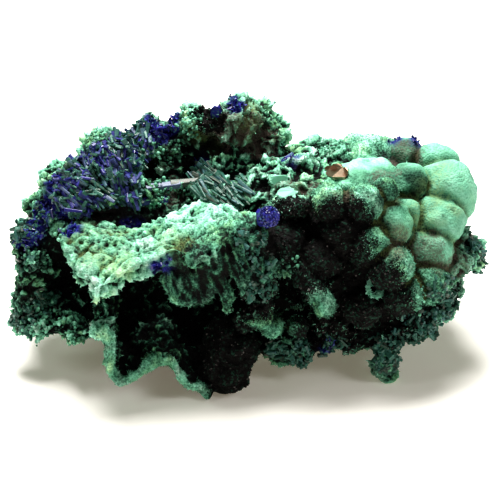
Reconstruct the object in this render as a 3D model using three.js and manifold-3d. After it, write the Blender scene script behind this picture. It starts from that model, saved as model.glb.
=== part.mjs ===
// Azurite and malachite specimen: one broken, cavernous lump of copper minerals grown together.
// Millimetres, +Z up. The front, with the hollow and the ledge over it, faces -Y.
// The lump rests on the broken feet of its underside, at z = 0.
import * as THREE from "three";
import { ImprovedNoise } from "three/addons/math/ImprovedNoise.js";
import { ConvexGeometry } from "three/addons/geometries/ConvexGeometry.js";
import { MeshoptSimplifier } from "three/addons/libs/meshopt_simplifier.module.js";
import { mergeVertices } from "three/addons/utils/BufferGeometryUtils.js";
import Module from "manifold-3d";

const wasm = await Module();
wasm.setup();

// ---- driving dimensions -------------------------------------------------------------------
// at is a centre and size the half axes, both [x, y, z]; turn is a rotation in radians.

const ORIGIN = [-0.2, 1.4, 0]; // what is taken off every place, so that the origin is under the middle
const FACET = 1.1; // about the edge length of the facets before the lump is simplified
const TRIANGLES = 8700; // what the lump is simplified to
const GRAIN = 0.35; // the radius of a grain of rock that joins two sides
const GROUND = { side: 200, depth: 40 }; // the block under the plane that the lump rests on

// The roughness of each kind of surface: the share of the radius that its noise moves, and the
// size of its grain.
const ROUGH = {
  boss: [0.22, 7],
  hollow: [0.3, 5],
  crest: [0.5, 2.6],
  lump: [0.5, 2.4],
  drape: [0.35, 2.6],
  ball: [0.08, 4],
  rib: [0.2, 2.6],
  finger: [0.1, 2.6],
};
// The same for the slabs and the floor crust, where the first number is a height, or for the
// slab's rim a share of its reach.
const SLAB_ROUGH = { top: [1.3, 2.6], rim: [0.1, 2] };
const CRUST_ROUGH = { front: [0.8, 3], top: [0.5, 2.6], slope: 0.1 };

// Overlapping bosses of solid ore that make up the bulk of the lump.
const BOSSES = [
  { at: [-4, 7, 15], size: [23, 13, 12.5] },
  { at: [-20, 6, 17], size: [14, 12, 12] },
  { at: [-25, 2, 10], size: [9.5, 9, 4.4] },
  { at: [19, 4.6, 16.6], size: [13.5, 15, 12.5] },
  { at: [9, 3, 21], size: [15, 12, 8.5] },
  { at: [-6, 8.5, 25], size: [13, 8, 9] },
  { at: [1, 7, 4], size: [18, 9, 5.4] },
];

// Broken blocks and crests along the top edge.
const CRESTS = [
  { at: [-1.6, 8, 33.8], size: [5.6, 4.2, 5.2], turn: [0.3, 0.4, 0.5] },
  { at: [2.4, 8.6, 32.2], size: [3.4, 3.6, 3.4], turn: [0.2, -0.5, 0.1] },
  { at: [-8.6, 7, 34.2], size: [3.4, 3.4, 4], turn: [0.1, 0.2, 0.9] },
  { at: [-14, 7, 31.8], size: [4.2, 4, 3.6], turn: [0.5, 0.1, 0.2] },
  { at: [-20.4, 5.4, 30.4], size: [5.5, 4.6, 3.8], turn: [0, 0.3, 0.2] },
  { at: [-26.8, 1.6, 27], size: [4.6, 4.6, 4.4], turn: [0.2, 0.5, 0] },
  { at: [-29.6, 0, 22.6], size: [3.6, 4, 4], turn: [0.2, 0.5, 0.4] },
];
const HORN = { base: [2.4, 8.8, 34.4], tip: [5.4, 8.6, 36.2], radius: 1.4 };
const SPIKE = { base: [-15, 8.6, 34], tip: [-15.3, 9, 37], radius: 1.5 };

// Smooth botryoidal balls of the right end: centre and radius.
const BALLS = [
  { at: [29, 2.4, 25.8], r: 4.9 },
  { at: [27.6, -1.8, 23], r: 4.4 },
  { at: [26.4, -4.6, 19.8], r: 4 },
  { at: [22.8, -3.6, 25], r: 2.6 },
  { at: [20, -6.4, 24.8], r: 3.8 },
  { at: [17.2, -9.4, 23.4], r: 3.5 },
  { at: [20.4, -10.6, 20], r: 3.5 },
  { at: [22.4, -10.6, 15.6], r: 3.1 },
  { at: [26.2, -7.6, 16], r: 3.4 },
  { at: [30.2, -2.8, 16.8], r: 2.8 },
  { at: [23.6, 0.4, 28.2], r: 2.9 },
  { at: [28, 6.6, 28.2], r: 3.4 },
  { at: [23.6, 9, 28.4], r: 3 },
];

// Velvety knobs on the shaded middle.
const KNOBS = [
  { at: [11.5, -8, 29.2], r: 2.9 },
  { at: [16.2, -7.8, 28.8], r: 3.1 },
  { at: [19.6, -5, 29.4], r: 2.2 },
  { at: [13.6, -8, 24.6], r: 3.8 },
  { at: [10.4, -9.8, 21.2], r: 3.2 },
  { at: [5, -8.6, 22.6], r: 3.4 },
  { at: [3.2, -11.8, 10.8], r: 1.8 },
  { at: [6.9, -10.8, 10.2], r: 1.7 },
  { at: [12, -8.4, 10], r: 3 },
  { at: [16.5, -9.4, 13], r: 3.2 },
  { at: [2.4, -10.4, 28.4], r: 1.7 },
];
const FINGER = { from: [6.6, -10.6, 21], to: [11, -14.6, 15.6], radius: 1.9 };

// Crust lumps of the left end and of the lower edge.
const LUMPS = [
  { at: [-33, -3.4, 21.4], size: [2.6, 2.6, 2.4] },
  { at: [-32.4, -2, 17.4], size: [3, 4, 4] },
  { at: [-33, -3.6, 12], size: [2.6, 3.4, 4.4] },
  { at: [-33.4, -4.6, 7.8], size: [2.6, 3, 2.2] },
  { at: [-30, -6, 8], size: [3.4, 3, 2] },
  { at: [-26, -8, 8], size: [3.2, 3, 1.8] },
  { at: [31.4, 0.6, 16.4], size: [3.2, 4, 4] },
  { at: [33.8, 1, 17.2], size: [2, 2.6, 1.6] },
  { at: [27.8, -2.6, 11.4], size: [4.2, 4.4, 4] },
  { at: [24, -6, 8.2], size: [3.8, 3.6, 3.4] },
  { at: [20.4, -9, 3.6], size: [2.4, 2.2, 4.6] },
  { at: [14, -6.6, 6.4], size: [5, 3.6, 2.6] },
  { at: [6, -7.4, 5.2], size: [5, 3.6, 3] },
  { at: [17.6, 1.6, 28.8], size: [5.4, 4.8, 2] },
  { at: [18, 11.4, 27.6], size: [6, 4.4, 3] },
  { at: [10, 11.4, 27.4], size: [5, 4, 2.8] },
  { at: [4.4, 3.4, 27], size: [8, 7.4, 4] },
  { at: [6, -6.4, 28.2], size: [3.2, 2.6, 1.6] },
  { at: [-3, -9.4, 6.2], size: [4.4, 5.4, 4.4] },
  { at: [-3.4, -12.6, 3.8], size: [3.6, 3, 3.6] },
  { at: [-1, -7.6, 24.6], size: [3.6, 3.6, 2.6] },
];

// Rows of larger balls that close the back: where they lie on the massif, as an ellipsoid.
const BACK = {
  at: [-1, 6.6, 15.6],
  size: [31.5, 13.2, 12.2],
  rows: [-0.62, -0.16, 0.3, 0.74],
  columns: 11,
  radius: [2.8, 5.2],
};

// Hollows that reach into the massif.
const HOLLOWS = [
  { at: [-15.6, -14, 11.4], size: [13.6, 13, 7.4] },
  { at: [-27.4, -9, 14.4], size: [5.2, 8.4, 5] },
  { at: [-3, -12, 11], size: [7, 8, 5.4] },
  { at: [-17.4, -3.4, 23.4], size: [7.6, 3.2, 7.4] },
  { at: [-8.9, 1.4, 31.6], size: [2.8, 4.6, 3.6] },
  { at: [22, -5.4, 27.8], size: [2.6, 3, 2.2] },
  { at: [5.4, -15, 16.5], size: [3.4, 5.4, 4.4] },
  { at: [14.2, -15.4, 18], size: [2.8, 4.4, 5] },
];

// The ledge over the hollow: a slab of crust, traced round its upper edge as [x, y, z].
const LEDGE = {
  rim: [
    [-24, -4, 25.4], [-27.6, -7.4, 25.4], [-27.4, -11, 24.6], [-26, -14, 23], [-24, -17, 21.8],
    [-22.2, -19, 21.2], [-20, -18.4, 22.2], [-17, -17.2, 23.6], [-14, -16, 24.8],
    [-10.6, -15, 25.4], [-8, -12, 26], [-8.6, -7, 26.4], [-11, -5, 26], [-14, -5.4, 25.4],
    [-17, -6.2, 24.8], [-21, -5.6, 25],
  ],
  thickness: 3.4,
};
// The paler step of crust that lies on the ledge's right end.
const STEP = {
  rim: [
    [-11.4, -5.6, 27.6], [-13, -9, 26.8], [-12, -13, 25.8], [-9.2, -16.6, 24.8], [-6.6, -17, 25],
    [-4.6, -15.6, 25.6], [-2, -12, 27], [-1, -9, 28], [-2.6, -6, 28.6], [-6.6, -4.6, 28.2],
  ],
  thickness: 2.2,
};

// The wavy floor crust: its front edge as [x, z], from the left end to the tip that it stands on.
const FLOOR_CRUST = {
  edge: [
    [-23.4, 11.6], [-21.6, 11.8], [-20.4, 10.4], [-20.6, 7.6], [-20.5, 4.9], [-18.9, 3.4],
    [-16.9, 4.4], [-15, 6], [-13.2, 6.9], [-11.4, 5.7], [-9.7, 3.6], [-7.8, 2.1], [-5.6, 0.9],
  ],
  thickness: 1.7,
  front: -16.4,
  depth: 19,
};

// The drape of dark crust that hangs from the ledge's right end, and its ribs, top to bottom.
const DRAPE = [
  { at: [-8.7, -13, 20.3], size: [4.2, 2.4, 4.2] },
  { at: [-5.5, -12.6, 22.6], size: [5, 2.6, 3.6] },
  { at: [-1.4, -11.2, 24.6], size: [4.4, 2.8, 4] },
];
const RIBS = [
  { from: [-2, -13.2, 24.2], to: [-0.4, -14.4, 17.7], radius: 1.3 },
  { from: [-4.2, -13.4, 20.6], to: [-2.9, -14.2, 14.9], radius: 1.2 },
  { from: [0.3, -12.6, 25], to: [0.9, -13.6, 17.8], radius: 1 },
  { from: [1.4, -11.2, 25.6], to: [2.8, -13, 18.6], radius: 1.4 },
  { from: [2.8, -13, 18.4], to: [2, -12.8, 12.4], radius: 1.4 },
  { from: [-0.8, -12.6, 12.2], to: [1.4, -12.6, 13.2], radius: 1.9 },
  { from: [1.2, -8, 14.6], to: [1.2, -12.6, 14], radius: 1.9 },
  { from: [-12.3, -13.8, 23], to: [-10.9, -14.8, 16.9], radius: 1.1 },
  { from: [-10.4, -14.6, 16.4], to: [-6.6, -14.4, 17], radius: 1.1 },
  { from: [-6.4, -14.2, 17], to: [-5.1, -14, 20], radius: 1.1 },
];

// The fan of azurite blades: the four corners of the slope that it covers.
const FAN = {
  upperLeft: [-27.6, -1.4, 30.6], upperRight: [-17.4, 2.4, 33.6], lowerRight: [-14.6, -1.4, 28.2],
  lowerLeft: [-26.6, -4.6, 26.4],
  rows: 5, columns: 6, length: 5.6, width: 2.4, thickness: 0.8,
};
// Single crystals that stand clear of the fan.
const PRISMS = [
  { from: [-16.6, -1.6, 28.2], to: [-10.4, -1, 28.8], width: 2, thickness: 1.5 },
  { from: [-11.6, -1, 28.8], to: [-7.4, -0.4, 29], width: 1.7, thickness: 1.4 },
  { from: [-16.4, -2.4, 26.6], to: [-12.2, -2.2, 27], width: 2, thickness: 1.4 },
  { from: [-7, -1.4, 30.2], to: [-1.8, -4.2, 26.6], width: 2.1, thickness: 1.1 },
  { from: [-5, -0.6, 30.4], to: [-0.6, -3, 26.8], width: 1.8, thickness: 1 },
  { from: [-8.4, -2.4, 29], to: [-4.6, -5.4, 26.6], width: 1.7, thickness: 1 },
  { from: [23.4, -6, 28.4], to: [22.8, -5, 25.6], width: 1, thickness: 0.6 },
];

// ---- tools --------------------------------------------------------------------------------

const perlin = new ImprovedNoise();

// Noise of three octaves, about -1 to 1, for a grain of the given size.
function fractal(p, grain, seed) {
  let sum = 0;
  for (let octave = 0, scale = 1 / grain, weight = 0.6; octave < 3; octave++) {
    sum += weight * perlin.noise(p.x * scale + seed, p.y * scale - seed, p.z * scale + 2 * seed);
    scale *= 2.1;
    weight *= 0.5;
  }
  return sum;
}

// A closed three.js geometry as a manifold-3d solid.
function solidOf(geometry) {
  const bare = new THREE.BufferGeometry();
  bare.setAttribute("position", geometry.getAttribute("position"));
  bare.setIndex(geometry.index);
  const merged = mergeVertices(bare, 1e-3);
  return new wasm.Manifold(
    new wasm.Mesh({
      numProp: 3,
      vertProperties: merged.attributes.position.array,
      triVerts: new Uint32Array(merged.index.array),
    }),
  );
}

// Moves each vertex by the function, which changes the Vector3 that it is given.
function reshape(geometry, move) {
  const place = geometry.getAttribute("position");
  const p = new THREE.Vector3();
  for (let i = 0; i < place.count; i++) {
    move(p.fromBufferAttribute(place, i));
    place.setXYZ(i, p.x, p.y, p.z);
  }
  return geometry;
}

// A rough ellipsoid.
function rock({ at, size, turn = [0, 0, 0] }, [rough, grain]) {
  const body = new THREE.IcosahedronGeometry(1, Math.ceil(Math.max(...size) / FACET) + 1);
  const centre = new THREE.Vector3(...at);
  const halves = new THREE.Vector3(...size);
  const tilt = new THREE.Euler(...turn);
  const onRock = (p) => p.multiply(halves).applyEuler(tilt).add(centre);
  reshape(body, (p) => {
    const bump = 1 + rough * fractal(onRock(p.clone()), grain, size[0]);
    onRock(p.multiplyScalar(bump));
  });
  return solidOf(body);
}

// A botryoidal ball, nearly round.
const ball = ({ at, r }) => rock({ at, size: [r, r, r] }, ROUGH.ball);

// How a thing made along +Y lies from one point to another.
function lie(from, to) {
  const start = new THREE.Vector3(...from);
  const along = new THREE.Vector3(...to).sub(start);
  const middle = start.addScaledVector(along, 0.5);
  const up = new THREE.Vector3(0, 1, 0);
  const turn = new THREE.Quaternion().setFromUnitVectors(up, along.clone().normalize());
  return { length: along.length(), place: (p) => p.applyQuaternion(turn).add(middle) };
}

// A round-ended rod between two points, with a rough side.
function rib({ from, to, radius }, [rough, grain]) {
  const { length, place } = lie(from, to);
  const steps = Math.ceil(length / FACET);
  const rod = new THREE.CapsuleGeometry(radius, length, 4, 12, steps);
  reshape(rod, (p) => {
    const bump = 1 + rough * fractal(place(p.clone()), grain, 7);
    place(p.set(p.x * bump, p.y, p.z * bump));
  });
  return solidOf(rod);
}

// A cone between two points, for a horn or a spike of rock.
function spike({ base, tip, radius }) {
  const { length, place } = lie(base, tip);
  return solidOf(reshape(new THREE.ConeGeometry(radius, length, 6), place));
}

// A tabular crystal with flat faces and chisel ends; up is the direction that its face looks.
function crystal({ from, to, up = [0, -0.4, 1], width, thickness }) {
  const a = new THREE.Vector3(...from);
  const b = new THREE.Vector3(...to);
  const along = b.clone().sub(a).normalize();
  const side = new THREE.Vector3(...up).cross(along).normalize();
  const face = along.clone().cross(side);
  const half = a.distanceTo(b) / 2;
  const middle = a.clone().add(b).multiplyScalar(0.5);
  const corners = [];
  for (const end of [-1, 1]) {
    for (const flat of [-1, 1]) {
      corners.push([end * half * 0.7, -width * 0.5, flat * thickness * 0.5]);
      corners.push([end * half * 0.7, width * 0.5, flat * thickness * 0.5]);
      corners.push([end * half, 0, flat * thickness * 0.25]);
    }
  }
  const points = corners.map(([l, w, t]) =>
    middle
      .clone()
      .addScaledVector(along, l)
      .addScaledVector(side, w)
      .addScaledVector(face, t),
  );
  return solidOf(new ConvexGeometry(points));
}

// A slab of crust under a traced rim. Its top is rough, its edge broken, its foot drawn in.
function slab({ rim, thickness }) {
  const rings = 8;
  const steps = 4 * rim.length;
  const edge = new THREE.CatmullRomCurve3(
    rim.map((p) => new THREE.Vector3(...p)),
    true,
  );
  const middle = rim
    .reduce((sum, p) => sum.add(new THREE.Vector3(...p)), new THREE.Vector3())
    .divideScalar(rim.length);
  // A flat lathe disc has a ring of vertices for each step from the middle to the rim.
  const profile = [];
  for (let i = 0; i <= rings; i++) profile.push(new THREE.Vector2(i / rings, 0));
  for (let i = rings; i >= 0; i--) profile.push(new THREE.Vector2(i / rings, 1));
  const plate = new THREE.LatheGeometry(profile, steps);
  reshape(plate, (p) => {
    const top = p.y > 0.5;
    const turn = (Math.atan2(p.x, p.z) / (2 * Math.PI) + 1) % 1;
    const point = edge.getPoint((Math.round(turn * steps) % steps) / steps);
    const [chipped, chip] = SLAB_ROUGH.rim;
    const broken = (top ? 1 : 0.9) + chipped * fractal(point, chip, 4);
    const share = Math.hypot(p.x, p.z) * broken;
    p.copy(middle).lerp(point, share);
    const [height, size] = SLAB_ROUGH.top;
    p.z += height * fractal(p, size, 3) - (top ? 0 : thickness);
  });
  return solidOf(plate);
}

// The floor crust: its front edge as an outline, run back into the lump.
function floorCrust({ edge, thickness, front, depth }) {
  const curve = new THREE.SplineCurve(edge.map((p) => new THREE.Vector2(...p)));
  const steps = 30;
  const side = (offset) =>
    curve.getPoints(steps).map((p, i) => {
      const tangent = curve.getTangent(i / steps);
      return p.add(new THREE.Vector2(-tangent.y, tangent.x).multiplyScalar(offset));
    });
  const shape = new THREE.Shape([...side(thickness / 2), ...side(-thickness / 2).reverse()]);
  const sheet = new THREE.ExtrudeGeometry(shape, { depth, steps: 10, bevelEnabled: false });
  reshape(sheet, (p) => {
    // Shape x and y become x and z; the extrusion comes forward along -Y and falls a little.
    const back = depth - p.z;
    const { front: [wave, waveSize], top: [bump, bumpSize], slope } = CRUST_ROUGH;
    p.set(p.x, front + back, p.y + slope * back);
    p.y += wave * fractal(new THREE.Vector3(p.x, 0, p.z), waveSize, 5);
    p.z += bump * fractal(p, bumpSize, 9);
  });
  return solidOf(sheet);
}

// ---- the lump -----------------------------------------------------------------------------

// A repeatable stand-in for chance, between low and high: draw tells the draws of one n apart.
function chance(n, draw, low = 0, high = 1) {
  const s = Math.sin(n * 127.1 + draw * 311.7 + 11.7) * 43758.5453;
  return low + (high - low) * (s - Math.floor(s));
}

// Blades in rows down the slope, like tiles, that swing from across it to down it.
function azuriteFan() {
  const { upperLeft, upperRight, lowerRight, lowerLeft, rows, columns } = FAN;
  const corner = (c) => new THREE.Vector3(...c);
  const blades = [];
  for (let n = 0; n < rows * columns; n++) {
    const row = Math.floor(n / columns);
    const across = ((n % columns) + 0.5 * (row % 2) + chance(n, 0, 0, 0.4)) / columns;
    const down = (row + chance(n, 1, 0, 0.4)) / rows;
    const top = corner(upperLeft).lerp(corner(upperRight), across);
    const foot = corner(lowerLeft).lerp(corner(lowerRight), across);
    const at = top.lerp(foot, down);
    const swing = 0.2 + 0.8 * across + chance(n, 2, -0.45, 0.45);
    const lean = chance(n, 3, 0.2, 0.8);
    const along = new THREE.Vector3(Math.cos(swing), -lean, -Math.sin(swing)).normalize();
    const half = (FAN.length / 2) * chance(n, 4, 0.75, 1.25);
    blades.push({
      from: at.clone().addScaledVector(along, -half).toArray(),
      to: at.clone().addScaledVector(along, half).toArray(),
      up: [chance(n, 5, 0.2, 0.8), chance(n, 6, -0.6, 0.2), 0.8],
      width: FAN.width * chance(n, 7, 0.8, 1.2),
      thickness: FAN.thickness,
    });
  }
  return blades;
}

// Balls of mixed size over the back half of the massif, sunk in to different depths.
function backBalls() {
  const { at, size, rows, columns, radius } = BACK;
  const balls = [];
  for (let n = 0; n < rows.length * columns; n++) {
    const row = Math.floor(n / columns);
    const r = chance(n, 10, ...radius);
    const turn = (Math.PI * ((n % columns) + 0.5 * (row % 2) + chance(n, 11, 0, 0.5))) / columns;
    const rise = rows[row] + chance(n, 12, -0.15, 0.15);
    const outward = new THREE.Vector3(
      Math.cos(turn) * Math.cos(rise),
      Math.sin(turn) * Math.cos(rise),
      Math.sin(rise),
    );
    const sunk = chance(n, 13, 0.25, 0.6) * r;
    const halves = new THREE.Vector3(...size).subScalar(sunk);
    balls.push({ at: outward.multiply(halves).add(new THREE.Vector3(...at)).toArray(), r });
  }
  return balls;
}

function specimen() {
  const massif = wasm.Manifold.union(BOSSES.map((b) => rock(b, ROUGH.boss)));
  const hollows = wasm.Manifold.union(HOLLOWS.map((h) => rock(h, ROUGH.hollow)));
  return wasm.Manifold.union([
    massif.subtract(hollows),
    ...CRESTS.map((c) => rock(c, ROUGH.crest)),
    ...LUMPS.map((l) => rock(l, ROUGH.lump)),
    ...DRAPE.map((d) => rock(d, ROUGH.drape)),
    ...[...BALLS, ...KNOBS, ...backBalls()].map(ball),
    ...RIBS.map((r) => rib(r, ROUGH.rib)),
    rib(FINGER, ROUGH.finger),
    ...[HORN, SPIKE].map(spike),
    ...[LEDGE, STEP].map(slab),
    floorCrust(FLOOR_CRUST),
    ...[...azuriteFan(), ...PRISMS].map(crystal),
  ]);
}

// What is left above the plane that it rests on, which cuts its feet off flat.
function standing(solid) {
  const ground = new THREE.BoxGeometry(GROUND.side, GROUND.side, GROUND.depth).translate(0, 0, -GROUND.depth / 2);
  return biggest(solid.subtract(solidOf(ground)));
}

function geometryOf(solid) {
  const { vertProperties, triVerts, numProp, numVert } = solid.getMesh();
  const places = new Float32Array(numVert * 3);
  for (let i = 0; i < numVert; i++) {
    places.set(vertProperties.subarray(i * numProp, i * numProp + 3), i * 3);
  }
  const geometry = new THREE.BufferGeometry();
  geometry.setAttribute("position", new THREE.BufferAttribute(places, 3));
  geometry.setIndex(new THREE.BufferAttribute(triVerts, 1));
  return geometry;
}

// The biggest body of a solid: chips that lie loose beside it are left out.
const biggest = (solid) => solid.decompose().sort((a, b) => b.volume() - a.volume())[0];

// The edges where more than two triangles meet, each as its two vertex numbers.
function pinches(index) {
  const meetings = new Map();
  for (let i = 0; i < index.length; i++) {
    const next = i % 3 === 2 ? i - 2 : i + 1;
    const ends = [index[i], index[next]].sort((a, b) => a - b).join();
    meetings.set(ends, (meetings.get(ends) ?? 0) + 1);
  }
  const pinched = [...meetings].filter(([, count]) => count > 2);
  return pinched.map(([ends]) => ends.split(",").map(Number));
}

// The solid with fewer, larger facets, where it is smooth enough to take them. Where two of its
// sides close up on each other along an edge, a grain of rock joins them.
async function simplified(solid) {
  await MeshoptSimplifier.ready;
  const fine = geometryOf(solid);
  const places = fine.getAttribute("position");
  const [index] = MeshoptSimplifier.simplify(fine.index.array, places.array, 3, 3 * TRIANGLES, 1);
  fine.setIndex(new THREE.BufferAttribute(index, 1));
  const grains = pinches(index).map((ends) => {
    const [from, to] = ends.map((i) => new THREE.Vector3().fromBufferAttribute(places, i));
    const { length, place } = lie(from, to);
    return solidOf(reshape(new THREE.CapsuleGeometry(GRAIN, length, 1, 5, 1), place));
  });
  return wasm.Manifold.union([solidOf(fine), ...grains]);
}

const malachite = new THREE.MeshStandardMaterial({
  color: 0x3f9c78,
  roughness: 0.85,
  metalness: 0,
  flatShading: true,
});
const geometry = geometryOf(standing(await simplified(specimen())));
geometry.translate(-ORIGIN[0], -ORIGIN[1], -ORIGIN[2]);
geometry.computeVertexNormals();
const lump = new THREE.Mesh(geometry, malachite);
lump.name = "malachite_specimen";

const part = new THREE.Group();
part.add(lump);
export default part;
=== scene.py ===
import math
import random

import bmesh
import bpy
import numpy as np
from mathutils import Matrix, Vector, noise
from mathutils.bvhtree import BVHTree


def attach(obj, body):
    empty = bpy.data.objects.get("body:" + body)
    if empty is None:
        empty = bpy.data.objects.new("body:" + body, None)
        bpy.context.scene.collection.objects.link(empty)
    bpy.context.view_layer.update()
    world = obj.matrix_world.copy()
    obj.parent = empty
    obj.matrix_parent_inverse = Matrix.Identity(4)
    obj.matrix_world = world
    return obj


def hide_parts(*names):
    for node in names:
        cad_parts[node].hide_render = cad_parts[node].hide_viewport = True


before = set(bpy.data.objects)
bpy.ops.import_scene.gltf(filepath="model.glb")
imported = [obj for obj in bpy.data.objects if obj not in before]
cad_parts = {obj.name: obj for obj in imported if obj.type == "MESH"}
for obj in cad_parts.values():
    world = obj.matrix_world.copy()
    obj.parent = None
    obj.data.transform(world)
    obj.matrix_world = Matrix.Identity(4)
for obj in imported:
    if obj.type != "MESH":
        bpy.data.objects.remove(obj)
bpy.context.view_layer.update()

MM = 0.001
ORIGIN = Vector((-0.2, 1.4, 0.0))  # taken off every place in the tables, which are in millimetres
MALACHITE_NODE = "malachite_specimen"
FINE = 0.24  # the voxel of the body, in millimetres
MOST_TRIANGLES = 188000
ROUGH = 0.4  # the voxel of the first, rough skin, in millimetres
WELD = 0.002  # points nearer than this, in millimetres, are joined
MIDDLE = (0, 4, 17)  # the middle of the lump
OUTSIDE = 0.2  # a distance from the middle that is clear of the lump, in metres
ROD_SIDES = 14
ROD_TIP = 0.7  # the share of its radius that a rib has at its end
FOOT_CLEARANCE = 1.2  # no small crystal stands lower than this, in millimetres
# How many times the skin is smoothed to find its relief, and how much painted shade and highlight that
# relief gives.
PAINTED_RELIEF_SHADE = ((8, 0.09), (70, 0.1))
# How much the bare ground, the ore and a patch count beside a crust, which counts 1.
GROUND_STRENGTH = 0.02
ORE_STRENGTH = 0.3
PATCH_STRENGTH = 3
SEED = 11
NOISE_SEED = 1795485336
random.seed(SEED)
noise.seed_set(NOISE_SEED)  # noise_vector has its own seed, which the clock sets otherwise

# ---- camera and light ---------------------------------------------------------------------

TARGET = Vector((0.2, -1.4, 17.25)) * MM
ELEVATION = math.radians(28)
DISTANCE = 380 * MM
SENSOR = 36  # in millimetres, as is the lens
LENS = 182.4
HALF_FRAME = 250  # the camera's frame is 500 by 500
AIR_TONE = (1, 0.94, 0.85, 1)
AIR_STRENGTH = 0.05


def set_camera():
    camera = bpy.data.objects.new("camera", bpy.data.cameras.new("camera"))
    bpy.context.scene.collection.objects.link(camera)
    away = Vector((0, -math.cos(ELEVATION), math.sin(ELEVATION)))
    camera.location = TARGET + DISTANCE * away
    camera.rotation_euler = away.to_track_quat("Z", "Y").to_euler()
    camera.data.sensor_width = SENSOR
    camera.data.lens = LENS
    camera.data.clip_start = 0.01
    bpy.context.scene.camera = camera
    return camera


def softbox(name, at, power, side, colour=(1, 1, 1)):
    light = bpy.data.objects.new(name, bpy.data.lights.new(name, "AREA"))
    bpy.context.scene.collection.objects.link(light)
    light.location = Vector(at) * MM
    light.rotation_euler = (light.location - TARGET).to_track_quat("Z", "Y").to_euler()
    light.data.energy = power
    light.data.size = side * MM
    light.data.color = colour


camera = set_camera()
softbox("overhead", (-30, 90, 340), 2.6, 190, (1, 0.98, 0.95))
softbox("left_window", (-300, -90, 230), 0.2, 120)
softbox("right_window", (280, -160, 240), 0.3, 120)

world = bpy.data.worlds.new("studio")
bpy.context.scene.world = world
world.use_nodes = True
background = world.node_tree.nodes["Background"]
background.inputs["Color"].default_value = AIR_TONE
background.inputs["Strength"].default_value = AIR_STRENGTH
bpy.context.scene.view_settings.view_transform = "Standard"
bpy.context.scene.view_settings.look = "Medium High Contrast"

# ---- the crusts and balls of the lump: where they lie, their tone and their surface --------
# The tone runs from 0, black-green, to 1, pale mint. The surface is one of the kinds below.
# A row is a middle, half sizes, a tone and a surface.

SMOOTH, VELVET, GRAINY, PITTED, FIBROUS, BOTRYOIDAL = range(6)

ORE = [
    ((-4, 7, 15), (23, 13, 12.5), 0.38, GRAINY),
    ((-20, 6, 17), (14, 12, 12), 0.4, GRAINY),
    ((-25, 2, 10), (9.5, 9, 4.4), 0.34, GRAINY),
    ((19, 4.6, 16.6), (13.5, 15, 12.5), 0.42, GRAINY),
    ((9, 3, 21), (15, 12, 8.5), 0.5, GRAINY),
    ((1, 7, 4), (18, 9, 5.4), 0.36, GRAINY),
    ((-1.6, 8, 33.8), (5.6, 4.2, 5.2), 0.44, GRAINY),
    ((2.4, 8.6, 32.2), (3.4, 3.6, 3.4), 0.5, GRAINY),
    ((-8.6, 7, 34.2), (3.4, 3.4, 4), 0.5, GRAINY),
    ((-14, 7, 31.8), (4.2, 4, 3.6), 0.44, GRAINY),
    ((-29.6, 0, 22.6), (3.6, 4, 4), 0.4, GRAINY),
]
# The balls have one radius instead of three half sizes.
BALLS = [
    ((29, 2.4, 25.8), 4.9, 0.72, SMOOTH),
    ((27.6, -1.8, 23), 4.4, 0.68, SMOOTH),
    ((26.4, -4.6, 19.8), 4, 0.64, SMOOTH),
    ((22.8, -3.6, 25), 2.6, 0.64, SMOOTH),
    ((20, -6.4, 24.8), 3.8, 0.6, SMOOTH),
    ((17.2, -9.4, 23.4), 3.5, 0.52, VELVET),
    ((20.4, -10.6, 20), 3.5, 0.5, VELVET),
    ((22.4, -10.6, 15.6), 3.1, 0.44, VELVET),
    ((26.2, -7.6, 16), 3.4, 0.5, VELVET),
    ((30.2, -2.8, 16.8), 2.8, 0.46, GRAINY),
    ((23.6, 0.4, 28.2), 2.9, 0.7, SMOOTH),
    ((28, 6.6, 28.2), 3.4, 0.7, SMOOTH),
    ((23.6, 9, 28.4), 3, 0.7, SMOOTH),
    ((11.5, -8, 29.2), 2.9, 0.54, VELVET),
    ((16.2, -7.8, 28.8), 3.1, 0.52, VELVET),
    ((19.6, -5, 29.4), 2.2, 0.54, VELVET),
    ((13.6, -8, 24.6), 3.8, 0.05, VELVET),
    ((10.4, -9.8, 21.2), 3.2, 0.06, VELVET),
    ((5, -8.6, 22.6), 3.4, 0.08, VELVET),
    ((3.2, -11.8, 10.8), 1.8, 0.3, VELVET),
    ((6.9, -10.8, 10.2), 1.7, 0.3, VELVET),
    ((12, -8.4, 10), 3, 0.34, GRAINY),
    ((16.5, -9.4, 13), 3.2, 0.4, VELVET),
]
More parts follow.
